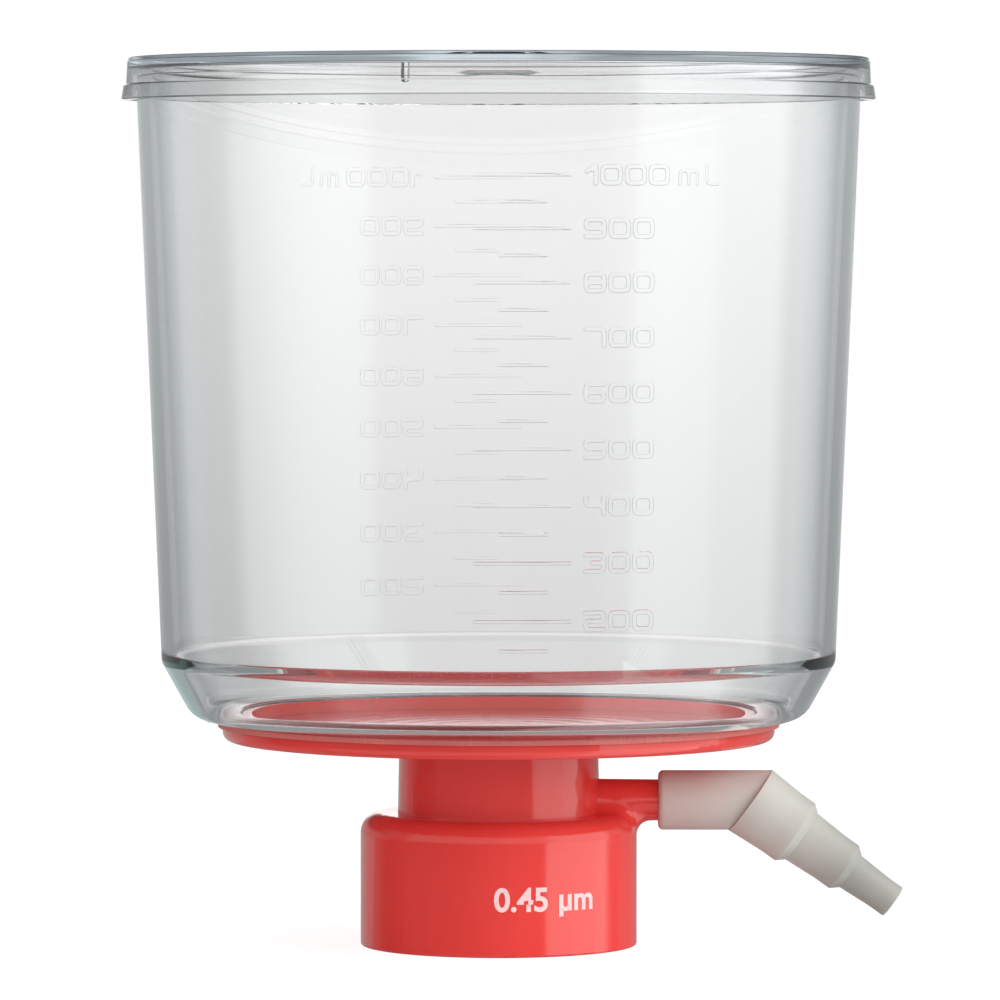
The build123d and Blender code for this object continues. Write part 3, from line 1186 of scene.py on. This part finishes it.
# ------------------------------------------------------------------------ funnel
@dataclass
class Funnel:
    """The clear funnel: one moulding with raised capacity scales on the front and the back."""

    material: bpy.types.Material
    wall: float = 2.1
    floor: float = 1.8
    shoulder_height: float = 10.1
    shoulder_angle: float = 61.0
    underside_width: float = 4.2
    ring_radius: float = 48.9
    ring_width: float = 4.02  # its bore lies in the welded plug
    ring_height: float = 1.2
    fused: float = 0.05  # how far the weld has sunk the ring into the flange
    corner_rise: float = 1.6  # of the barrel's inner corner above the outer one
    segments: int = 384
    full_line: float = 133.9  # height of the 1000 mL line
    line_step: int = 50  # mL
    first_line: int = 150
    rim_step: float = 0.35
    rim_step_height: float = 1.4
    bore_edge: float = 0.45  # rounding of the floor's edge round the bore
    notch_angle: float = 255.75
    notch_width: float = 1.1
    notch_depth: float = 3.7
    line_width: float = 0.6
    long_line: Point2 = (-4.25, 12.15)  # its ends along the wall, on each whole 100 mL
    short_line: Point2 = (0.0, 8.2)
    figures_start: float = 14.2
    first_figure: int = 200
    tab_size: Point2 = (5.0, 1.8)  # of the gate's stub: across, and outward before it is drawn out
    tab_draw: float = 1.33
    tab_root: float = 0.6  # how far it stands in the weld ring
    side_step: float = 0.8  # longest side of a raised bar, so that it follows the wall
    lettering: Lettering = field(default_factory=Lettering)
    relief: Relief = field(default_factory=Relief)
    back_relief: Relief = Relief(((-0.35, 0.0), (0.0, 0.0), (0.018, 0.04)))

    def __post_init__(self) -> None:
        """Take the heights and the rim from the solids."""
        low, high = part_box("funnel")
        self.weld_height = low.z / MM
        self.rim_height = high.z / MM
        self.rim_radius = high.x / MM
        self.underside = self.weld_height + self.ring_height
        self.barrel = self.underside + self.shoulder_height
        slope = math.radians(self.shoulder_angle)
        self.underside_radius = self.ring_radius + self.underside_width
        self.bottom_radius = self.underside_radius + self.shoulder_height / math.tan(slope)
        shoulder_wall = self.wall + self.corner_rise / math.tan(slope)
        self.inner_barrel = self.barrel + self.corner_rise
        self.floor_radius = self.underside_radius + self.floor / math.tan(slope) - shoulder_wall

    def outer_radius(self, height: float) -> float:
        """The barrel's outer radius at a height."""
        share = (height - self.barrel) / (self.rim_height - self.barrel)
        return self.bottom_radius + share * (self.rim_radius - self.bottom_radius)

    def section(self) -> Section:
        """The funnel's section.

        Returns:
            The section, from the weld ring's bore outward and over the rim.
        """
        bore = self.ring_radius - self.ring_width
        step_height = self.rim_height - self.rim_step_height
        step_radius = self.outer_radius(step_height)
        return Section([
            Corner(bore, self.weld_height - self.fused),
            Corner(self.ring_radius, self.weld_height - self.fused),
            Corner(self.ring_radius, self.underside, 0.25),
            Corner(self.underside_radius, self.underside, 5.0),
            Corner(self.bottom_radius, self.barrel, 3.0),
            Corner(step_radius, step_height, 0.2),
            Corner(step_radius - self.rim_step, step_height, 0.1),
            Corner(self.rim_radius - self.rim_step, self.rim_height, 0.15),
            Corner(self.rim_radius - self.wall, self.rim_height, 0.4),
            Corner(self.bottom_radius - self.wall, self.inner_barrel, 0.9),
            Corner(self.floor_radius, self.underside + self.floor, 2.9),
            Corner(bore, self.underside + self.floor, self.bore_edge),
        ])

    def line_heights(self) -> dict[int, float]:
        """The height of each capacity line, from the barrel's inner area below the full line.

        Returns:
            The height of each line, by its capacity in millilitres.
        """
        heights, height, volume = {1000: self.full_line}, self.full_line, 1000.0
        step = 0.01
        for capacity in range(1000 - self.line_step, self.first_line - 1, -self.line_step):
            while volume > capacity:
                height -= step
                volume -= math.pi * (self.outer_radius(height) - self.wall) ** 2 * step / 1000
            heights[capacity] = height
        return heights

    def scale(self, quarter: float, relief: Relief) -> list[Shape]:
        """One raised capacity scale.

        Args:
            quarter: The azimuth that it faces, in degrees.
            relief: How it stands on the wall.

        Returns:
            Its lines and characters as solids.
        """
        facing = math.radians(quarter)

        def wrap(across: float, height: float, rise: float) -> tuple[float, float, float]:
            """A place on the wall: millimetres along the wall, height and rise above it.

            Args:
                across: Millimetres along the wall.
                height: Its height.
                rise: How far it stands off the wall.

            Returns:
                The place, in metres.
            """
            radius = self.outer_radius(height)
            angle = facing + across / radius
            reach = (radius + rise) * MM
            return (reach * math.cos(angle), reach * math.sin(angle), height * MM)

        def bar(left: float, bottom: float, right: float, top: float) -> Shape:
            """A raised bar."""
            loop = _parted([(left, bottom), (right, bottom), (right, top), (left, top)], self.side_step)
            return relief.solid([loop], wrap)

        solids = []
        for capacity, height in self.line_heights().items():
            major = capacity % 100 == 0
            left, right = self.long_line if major else self.short_line
            solids.append(bar(left, height - self.line_width / 2, right, height + self.line_width / 2))
            if not major or capacity < self.first_figure:
                continue
            across = self.figures_start
            for character in "1000mL" if capacity == 1000 else str(capacity):
                if character == "m":
                    across += self.lettering.unit_gap
                width, loops = self.lettering.loops(character)
                base = height - self.lettering.height / 2
                placed = [
                    [(x + across, y + base) for x, y in self.lettering.rounded(loop)] for loop in loops
                ]
                solids.append(relief.solid(placed, wrap))
                across += width + (self.lettering.unit_gap if character == "m" else self.lettering.gap)
        return solids

    def gate_tab(self) -> Shape:
        """The gate's stub on the weld ring, opposite the side arm.

        Returns:
            The stub as a solid.
        """
        half, reach = self.tab_size[0] / 2, self.tab_size[1]
        loop = _parted([(-half, 0), (half, 0), (half, reach), (-half, reach)], self.side_step)

        def wrap(across: float, reach: float, rise: float) -> tuple[float, float, float]:
            """A place on the tab: across, outward and up."""
            radius = self.ring_radius - self.tab_root + reach * self.tab_draw
            return (-radius * MM, -across * MM, rise * MM)

        low, high = self.weld_height - self.fused, self.underside
        levels = ((low, 0.0), (high - 0.15, 0.0), (high - 0.02, 0.08))
        return Relief(levels).solid([loop], wrap)

    def notch(self) -> Shape:
        """The vent notch's cutting tool, a round-ended slot through the rim.

        Returns:
            The tool as a solid.
        """
        half = self.notch_width / 2
        bottom = self.rim_height - self.notch_depth
        loop = [(half, self.rim_height + 1.0), (-half, self.rim_height + 1.0)]
        for step in range(13):
            angle = math.pi + math.pi * step / 12
            loop.append((half * math.cos(angle), bottom + half + half * math.sin(angle)))
        facing = math.radians(self.notch_angle)

        def wrap(across: float, height: float, rise: float) -> tuple[float, float, float]:
            """A place on the tool: across, up and outward.

            Args:
                across: Millimetres along the rim.
                height: Its height.
                rise: How far it stands outward.

            Returns:
                The place, in metres.
            """
            reach = self.rim_radius - self.wall / 2 + rise
            return (
                (reach * math.cos(facing) - across * math.sin(facing)) * MM,
                (reach * math.sin(facing) + across * math.cos(facing)) * MM,
                height * MM,
            )

        return Relief(((-3.0, 0.0), (3.0, 0.0))).solid([loop], wrap)

    def build(self) -> bpy.types.Object:
        """Turn the funnel, raise its scales, cut its notch and dress it.

        Returns:
            The funnel.
        """
        section = self.section()
        piece = turned(section, self.segments).object("clear_funnel")
        scales = [*self.scale(-90.0, self.relief), *self.scale(90.0, self.back_relief)]
        carve(piece, merged(scales), Carving.JOIN)
        carve(piece, self.gate_tab(), Carving.JOIN)
        carve(piece, self.notch(), Carving.CUT)
        restore_normals(piece, section, [relief.levels[-1][0] for relief in (self.relief, self.back_relief)])
        return put(piece, self.material, "unit", ["funnel"])


# ------------------------------------------------------------------------ lid
@dataclass
class Lid:
    """The clear lid: a plate with a dished centre and a beaded skirt."""

    material: bpy.types.Material
    plate: float = 1.7
    skirt_wall: float = 1.15
    flare: float = 0.4
    bead_height: float = 2.6
    bead_step: float = 0.45
    top_step: float = 0.4
    top_step_height: float = 0.6
    dish_radius: float = 4.8
    dish_slope: float = 2.4  # width of the dish's sloping side
    dish_depth: float = 0.6
    flash: float = 0.28  # ragged moulding flash on the skirt's foot
    flash_seed: int = 11
    segments: int = 560

    def build(self) -> bpy.types.Object:
        """Turn the lid, fray its foot and dress it.

        Returns:
            The lid.
        """
        low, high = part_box("lid")
        foot, top = low.z / MM, high.z / MM
        under = top - self.plate
        outer = high.x / MM - self.flare - self.bead_step
        inner = outer - self.skirt_wall
        bead_top = foot + self.bead_height
        step_height = top - self.top_step_height
        section = Section([
            Corner(0.0, under - self.dish_depth),
            Corner(self.dish_radius, under - self.dish_depth, 3.0),
            Corner(self.dish_radius + self.dish_slope, under, 3.0),
            Corner(inner, under, 0.45),
            Corner(inner + self.flare, foot, 0.25),
            Corner(outer + self.flare + self.bead_step, foot, 0.3),
            Corner(outer + self.bead_step, bead_top, 0.25),
            Corner(outer, bead_top, 0.18),
            Corner(outer - self.top_step / 2, step_height, 0.1),
            Corner(outer - self.top_step, step_height, 0.06),
            Corner(outer - self.top_step, top, 0.15),
            Corner(self.dish_radius + self.dish_slope, top, 3.0),
            Corner(self.dish_radius, top - self.dish_depth, 3.0),
            Corner(0.0, top - self.dish_depth),
        ])
        shape = turned(section, self.segments)
        self._fray(shape, foot)
        piece = shape.object("clear_lid")
        return put(piece, self.material, "lid", ["lid"])

    def _fray(self, shape: Shape, foot: float) -> None:
        """Raise the foot's points by ragged amounts, most on the side away from the front.

        Args:
            shape: The turned lid, changed in place.
            foot: The height of its foot.
        """
        random = np.random.default_rng(self.flash_seed)
        steps = random.uniform(0, 1, self.segments)
        ragged = 0.6 * steps + 0.4 * np.roll(steps, 1)
        points = shape.points
        close = points[:, 2] < (foot + 0.02) * MM
        angle = np.arctan2(points[:, 1], points[:, 0])
        index = np.round(angle / FULL_TURN * self.segments).astype(int) % self.segments
        share = np.clip(0.15 + 2.0 * np.sin(angle), 0.0, 1.0)
        points[:, 2] += np.where(close, ragged[index] * share * self.flash * MM, 0.0)


# ------------------------------------------------------------------------ red base
@dataclass
class FilterBase:
    """The one-piece red base with its recess, neck thread, weld flash and print."""

    neck_radius: float = 22.75
    thread_pitch: float = 4.0
    thread_turns: float = 2.6
    thread_start: float = 4.2
    collar_radius: float = 24.1
    print_text: str = "0.45 µm"
    print_height: float = 4.2
    print_centre: float = 9.75
    print_lift: float = 0.03
    print_azimuth: float = -69.8
    type_to_height: float = 1.34  # of the type's size to its figures' height
    print_swell: float = 0.14  # how far the ink spreads past the strokes
    print_name: str = "pore_size_print"
    plug_radius: float = 44.9
    recess_radius: float = 43.1
    recess_depth: float = 2.3  # of the membrane's seat below the support's rim
    film_gap: float = 0.3  # between the membrane's edge and the recess's wall
    rib_pitch: float = 5.0
    rib_width: float = 1.0
    rib_height: float = 0.5
    first_rib: float = 5.5
    flash_width: float = 0.05  # of the weld's flash on the funnel's ring
    flash_height: float = 0.9
    ring_radius: float = 48.9  # of the funnel's weld ring
    turned_segments: int = 256
    thread_steps: int = 160  # in a full turn
    thread_run_out: float = 0.12  # turns at each end over which the ridge dies away
    ridge: tuple[Point2, ...] = ((0.15, -1.25), (-0.25, -1.05), (-1.1, -0.5), (-1.3, -0.25), (-1.3, 0.25),
                                 (-1.1, 0.5), (-0.25, 1.05), (0.15, 1.25))  # in from the bore, along it

    def __post_init__(self) -> None:
        """Take the heights from the solids."""
        self.rim_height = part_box("filter_base")[1].z / MM
        self.seat_height = self.rim_height - self.recess_depth
        self.weld_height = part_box("funnel")[0].z / MM

    def build(self) -> None:
        """Sink the membrane's recess, dress the base and add the thread, the flash and the print."""
        red = RedStyrene(
            self.plug_radius, (self.weld_height, self.rim_height), self.recess_radius, self.seat_height
        ).build()
        normals = CornerNormals(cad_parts["filter_base"].data)
        piece = normals.welded().object("red_filter_base")
        carve(piece, turned(self.recess(), self.turned_segments), Carving.CUT)
        normals.apply(piece.data)
        put(piece, red, "unit", ["filter_base"])
        put(self.thread().object("neck_thread"), red, "unit")
        put(self.flash().object("weld_flash"), WeldFlash().build(), "unit")
        put(self.rating(), PadInk().build(), "unit")

    def recess(self) -> Section:
        """The recess's cutting tool, grooved below so that it leaves the support's ribs.

        Returns:
            The tool's section.
        """
        corners = [Corner(0.0, self.seat_height - self.rib_height)]
        radius = self.first_rib
        while radius + self.rib_width < self.recess_radius:
            corners += [
                Corner(radius, self.seat_height - self.rib_height),
                Corner(radius, self.seat_height),
                Corner(radius + self.rib_width, self.seat_height),
                Corner(radius + self.rib_width, self.seat_height - self.rib_height),
            ]
            radius += self.rib_pitch
        corners += [
            Corner(self.recess_radius, self.seat_height - self.rib_height),
            Corner(self.recess_radius, self.rim_height + 1.0),
            Corner(0.0, self.rim_height + 1.0),
        ]
        return Section(corners)

    def flash(self) -> Shape:
        """The welding flash, a thin rough skin of red on the funnel's ring.

        Returns:
            The flash as a closed ring.
        """
        inner, outer = self.ring_radius - 0.1, self.ring_radius + self.flash_width
        low = self.weld_height + 0.02
        return turned(Section([
            Corner(inner, low), Corner(outer, low, 0.02),
            Corner(outer, low + self.flash_height, 0.02), Corner(inner, low + self.flash_height),
        ]), self.turned_segments)

    def thread(self) -> Shape:
        """The raised screw thread inside the collar, run out to nothing at both ends.

        Returns:
            The ridge as a solid.
        """
        steps = int(self.thread_turns * self.thread_steps)
        points, faces = [], []
        size = len(self.ridge)
        for step in range(steps + 1):
            turn = self.thread_turns * step / steps
            fade = min(1.0, turn / self.thread_run_out, (self.thread_turns - turn) / self.thread_run_out)
            fade = max(fade, 0.0) * 0.98 + 0.02
            angle = turn * FULL_TURN
            height = self.thread_start + self.thread_pitch * turn
            for depth, along in self.ridge:
                radius = self.neck_radius + (depth * fade if depth < 0 else depth)
                points.append((
                    radius * math.cos(angle) * MM,
                    radius * math.sin(angle) * MM,
                    (height + along * (0.3 + 0.7 * fade)) * MM,
                ))
        for step in range(steps):
            for index in range(size):
                following = (index + 1) % size
                here, after = step * size, (step + 1) * size
                faces.append((here + index, after + index, after + following, here + following))
        faces.append(tuple(range(size)))
        faces.append(tuple(steps * size + index for index in reversed(range(size))))
        return Shape(np.array(points), faces)

    def rating(self) -> bpy.types.Object:
        """The pore size printed on the collar, wrapped round it as a thin skin of ink.

        Returns:
            The print.
        """
        curve = bpy.data.curves.new(self.print_name, "FONT")
        curve.body = self.print_text
        curve.size = self.print_height * MM * self.type_to_height
        curve.align_x = curve.align_y = "CENTER"
        curve.offset = self.print_swell * MM
        curve.resolution_u = 6
        text = linked(self.print_name, curve)
        graph = bpy.context.evaluated_depsgraph_get()
        mesh = bpy.data.meshes.new_from_object(text.evaluated_get(graph), depsgraph=graph)
        bpy.data.objects.remove(text)
        mesh.name = self.print_name
        facing = math.radians(self.print_azimuth)
        radius = (self.collar_radius + self.print_lift) * MM
        for vertex in mesh.vertices:
            angle = facing + vertex.co.x / radius
            height = self.print_centre * MM + vertex.co.y
            vertex.co = (radius * math.cos(angle), radius * math.sin(angle), height)
        return linked(self.print_name, mesh)


# ------------------------------------------------------------------------ small pieces
@dataclass
class NeckGasket:
    """The soft gasket that seals on the bottle's mouth."""

    material: bpy.types.Material
    bore: float = 16.6
    rounding: float = 0.25
    segments: int = 192

    def build(self) -> bpy.types.Object:
        """Turn the gasket and dress it.

        Returns:
            The gasket.
        """
        low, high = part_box("neck_gasket")
        bottom, top, outer = low.z / MM, high.z / MM, high.x / MM
        corners = [(self.bore, bottom), (outer, bottom), (outer, top), (self.bore, top)]
        section = Section([Corner(radius, height, self.rounding) for radius, height in corners])
        piece = turned(section, self.segments).object("soft_neck_gasket")
        return put(piece, self.material, "unit", ["neck_gasket"])


@dataclass
class Membrane:
    """The filter membrane, drawn slightly down between the ribs that carry it."""

    material: bpy.types.Material
    seat_height: float
    edge_radius: float
    rings: int = 88
    segments: int = 192
    sag: float = 0.04
    rib_pitch: float = 5.0
    first_rib: float = 6.0
    crease: float = 40.0  # degrees from which an edge shows sharp

    def build(self) -> bpy.types.Object:
        """Lay the membrane and dress it.

        Returns:
            The membrane.
        """
        low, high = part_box("membrane")
        bottom, top = self.seat_height, self.seat_height + (high.z - low.z) / MM
        corners = [Corner(0.0, top)]
        for ring in range(1, self.rings):
            radius = self.edge_radius * ring / self.rings
            phase = (radius - self.first_rib) / self.rib_pitch * FULL_TURN
            corners.append(Corner(radius, top - self.sag * (0.5 - 0.5 * math.cos(phase))))
        corners += [Corner(self.edge_radius, top), Corner(self.edge_radius, bottom), Corner(0.0, bottom)]
        shape = turned(Section(corners), self.segments)
        shape.normals = None
        piece = shape.object("membrane_film")
        piece.data.set_sharp_from_angle(angle=math.radians(self.crease))
        return put(piece, self.material, "unit", ["membrane"])


@dataclass
class HoseAdapter:
    """The stepped elbow adapter pushed over the side arm."""

    material: bpy.types.Material

    def build(self) -> None:
        """Dress the solid."""
        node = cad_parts["hose_adapter"]
        node.data.materials.clear()
        node.data.materials.append(self.material)
        LOG.info("hose_adapter: %d faces, on hose_adapter", len(node.data.polygons))


# ------------------------------------------------------------------------ studio
@dataclass(frozen=True)
class Lamp:
    """One square soft lamp, aimed at the red base. Its lengths are in metres."""

    name: str
    azimuth: float  # degrees to the right of the front
    distance: float  # over the floor
    height: float
    size: float
    power: float  # watts
    aim: float = 0.06  # height that it is aimed at

    def build(self) -> None:
        """Hang the lamp, unseen itself."""
        data = bpy.data.lights.new(self.name, "AREA")
        data.size = self.size
        data.energy = self.power
        lamp = linked(self.name, data)
        turn = math.radians(self.azimuth)
        lamp.location = (self.distance * math.sin(turn), -self.distance * math.cos(turn), self.height)
        lamp.rotation_euler = (Vector((0, 0, self.aim)) - lamp.location).to_track_quat("-Z", "Y").to_euler()
        hide_from(lamp, "camera", "glossy", "transmission")


@dataclass(frozen=True)
class Card:
    """A low bright card, which only shows as a reflection on the red parts. Its lengths are in metres."""

    name: str
    azimuth: float  # degrees to the right of the front
    distance: float
    half_width: float
    heights: Point2  # of its foot and its top
    radiance: float
    tint: Colour = (0.72, 1.0, 0.96)

    def build(self) -> None:
        """Stand the card up."""
        facing = math.radians(self.azimuth)
        outward = Vector((math.sin(facing), -math.cos(facing), 0.0))
        along = Vector((math.cos(facing), math.sin(facing), 0.0))
        points = [
            outward * self.distance + along * side * self.half_width + Vector((0, 0, height))
            for height in self.heights for side in (-1, 1)
        ]
        card = Shape(np.array([tuple(point) for point in points]), [(0, 1, 3, 2)]).object(self.name)
        graph = Graph(bpy.data.materials.new(self.name))
        glow = graph.node("ShaderNodeEmission", {}, {"Color": self.tint, "Strength": self.radiance})
        card.data.materials.append(graph.finish(glow))
        hide_from(card, "camera", "diffuse", "transmission", "shadow", "volume_scatter")


@dataclass(frozen=True)
class Heading:
    """Where a ray goes, in degrees."""

    azimuth: Signal  # from the front, to the right
    aside: Signal  # from the middle of the back, to either side
    lift: Signal  # over level


@dataclass
class Studio:
    """The white sweep, the soft lamps and the camera."""

    eye: tuple[float, float, float] = (0.00023, -1.236, 0.1285)
    tilt: float = 2.36  # degrees below level
    lens: float = 255.7
    room_level: float = 0.90
    lamplight_inside: float = 0.62  # stands in for the lamps, whose light stops at clear walls
    panel_level: float = 0.92
    behind_level: float = 0.30
    side_tint: Colour = (0.95, 1.0, 1.015)
    centre_tint: Colour = (1.0, 0.997, 0.99)
    sweep_radius: float = 8.0
    sweep_heights: Point2 = (-0.02, -1.0)  # mm, of its face and its underside
    sweep_segments: int = 96
    lamps: tuple[Lamp, ...] = (
        Lamp("key_panel", azimuth=62.0, distance=1.5, height=0.75, size=1.1, power=17.5),
        Lamp("front_fill", azimuth=8.0, distance=1.4, height=0.03, size=0.7, power=3.6),
    )
    cards: tuple[Card, ...] = (
        Card("low_card", azimuth=68.0, distance=0.25, half_width=0.144, heights=(-0.12, 0.020), radiance=2.05),
        Card("rear_card", azimuth=-150.0, distance=0.6, half_width=0.24, heights=(-0.15, -0.004),
             radiance=0.55),
    )

    def build(self) -> None:
        """Set the world, the lamps, the cards, the floor, the camera and the view."""
        self.world()
        for piece in (*self.lamps, *self.cards):
            piece.build()
        self.floor()
        self.camera()
        scene = bpy.context.scene
        scene.view_settings.view_transform = "Standard"
        scene.cycles.max_bounces = 32
        scene.cycles.transmission_bounces = 28
        scene.cycles.glossy_bounces = 16
        scene.cycles.transparent_max_bounces = 16

    def world(self) -> None:
        """White behind and through the clear pieces; what they mirror is a studio of soft panels."""
        world = bpy.data.worlds.new("studio")
        bpy.context.scene.world = world
        graph = Graph(world)
        direction = graph.coordinates("Generated")
        across, depth, rise = (direction.part(name) for name in "XYZ")
        azimuth = across.bearing(depth * -1)
        heading = Heading(azimuth, 180 - azimuth.absolute(), rise.arcsine())
        through = self.seen_through(heading)
        mirrored = self.mirrored(heading, through)

        direct = graph.ray("Is Camera Ray")
        seen = (direct + graph.ray("Is Glossy Ray") + graph.ray("Is Transmission Ray")).clamped()
        seen = seen * (1 - graph.ray("Diffuse Depth").clamped())
        bounced = graph.ray("Glossy Depth").clamped()
        shown = bounced * mirrored + (1 - bounced) * (direct + (1 - direct) * through)
        room = self.room_level + graph.ray("Transmission Depth").clamped() * self.lamplight_inside
        strength = seen * shown + (1 - seen) * room
        cool = graph.blend(self.centre_tint, self.side_tint, heading.aside.rise(4.0, 12.0))
        tint = graph.blend((1.0, 1.0, 1.0), cool, seen - direct)
        graph.finish(graph.node("ShaderNodeBackground", {}, {"Color": tint, "Strength": strength}))

    def seen_through(self, heading: Heading) -> Signal:
        """What shows through the clear walls.

        Args:
            heading: Where the ray goes.

        Returns:
            The level of light from there.
        """
        azimuth, aside, lift = heading.azimuth, heading.aside, heading.lift
        # grey at both sides of the middle, where the walls curve away, a little nearer at the left
        dimmed = azimuth.fall(-1.0, 1.0) * 0.20 * aside.rise(2.2, 5.0) + 0.42 * aside.rise(7.0, 15.0)
        dimmed = dimmed * aside.fall(20.0, 28.0) * lift.rise(-14.0, -8.0)
        # dusky low down and lighter above level, with a grey band overhead and more light from below
        through = (0.73 + 0.30 * lift.rise(-5.5, 1.5)) * (1 - dimmed)
        through = through * (1 - 0.28 * lift.rise(0.82, 0.92))
        through = through * (1 - 0.55 * lift.rise(5.0, 15.0) * lift.fall(25.0, 40.0))
        return through + 0.2 * lift.fall(-20.0, -12.0)

    def mirrored(self, heading: Heading, through: Signal) -> Signal:
        """What the pieces mirror.

        Args:
            heading: Where the ray goes.
            through: The level of light that shows through the clear walls.

        Returns:
            The level of light from there.
        """
        azimuth, aside, lift = heading.azimuth, heading.aside, heading.lift
        # the front: dim low down, lighter above, dim beyond the left, a soft-edged panel at the right
        front = 0.06 + 0.62 * lift.rise(-4.2, 0.8) + 0.15 * lift.rise(1.0, 5.5)
        front = front + 0.6 * lift.fall(-20.0, -10.0) * lift.rise(-75.0, -50.0)
        left_gap = azimuth.fall(-88.0, -76.0)
        panel = (0.5 * azimuth.rise(30.0, 56.0) + 0.5 * azimuth.rise(43.0, 47.0)) * azimuth.fall(100.0, 112.0)
        mirrored = front * (1 - left_gap * 0.7) + panel * self.panel_level
        # the back: a grey backdrop, with the bright sweep in its middle and a lit strip over it
        behind = azimuth.absolute().rise(104.0, 125.0)
        backdrop = self.behind_level + 0.14 * lift.rise(-6.0, 0.5)
        backdrop = backdrop * (1 - 0.85 * lift.rise(7.0, 14.0) * lift.fall(25.0, 40.0))
        near = aside.fall(6.0, 12.0) * lift.absolute().fall(5.0, 9.0)
        glow = through + 1.2 * lift.rise(1.8, 3.2) * lift.fall(6.0, 10.0)
        backdrop = backdrop * (1 - near) + glow * near
        return mirrored * (1 - behind) + backdrop * behind

    def floor(self) -> None:
        """The floor, a wide round sweep of white paper."""
        radius = self.sweep_radius / MM
        top, bottom = self.sweep_heights
        corners = [(0.0, top), (radius, top), (radius, bottom), (0.0, bottom)]
        section = Section([Corner(*corner) for corner in corners])
        sweep = turned(section, self.sweep_segments).object("floor_sweep")
        sweep.data.materials.append(FloorPaper().build())
        hide_from(sweep, "glossy", "transmission")

    def camera(self) -> None:
        """The camera, level but for a slight tilt."""
        data = bpy.data.cameras.new("camera")
        data.lens = self.lens
        data.sensor_width = 36.0
        data.clip_end = 50.0
        camera = linked("camera", data)
        camera.location = self.eye
        camera.rotation_euler = (math.radians(90 - self.tilt), 0.0, 0.0)
        bpy.context.scene.camera = camera


def main() -> None:
    """Build the pieces in order, then the studio."""
    logging.basicConfig(level=logging.INFO, format="%(name)s: %(message)s")
    clear = ClearStyrene().build()
    Funnel(clear).build()
    Lid(clear).build()
    base = FilterBase()
    base.build()
    NeckGasket(SoftElastomer().build()).build()
    Membrane(MembraneFilm().build(), base.seat_height, base.recess_radius - base.film_gap).build()
    HoseAdapter(NaturalPropylene(arm_tip=41.9, hose_end=68.0).build()).build()
    Studio().build()


if __name__ == "__main__":
    main()
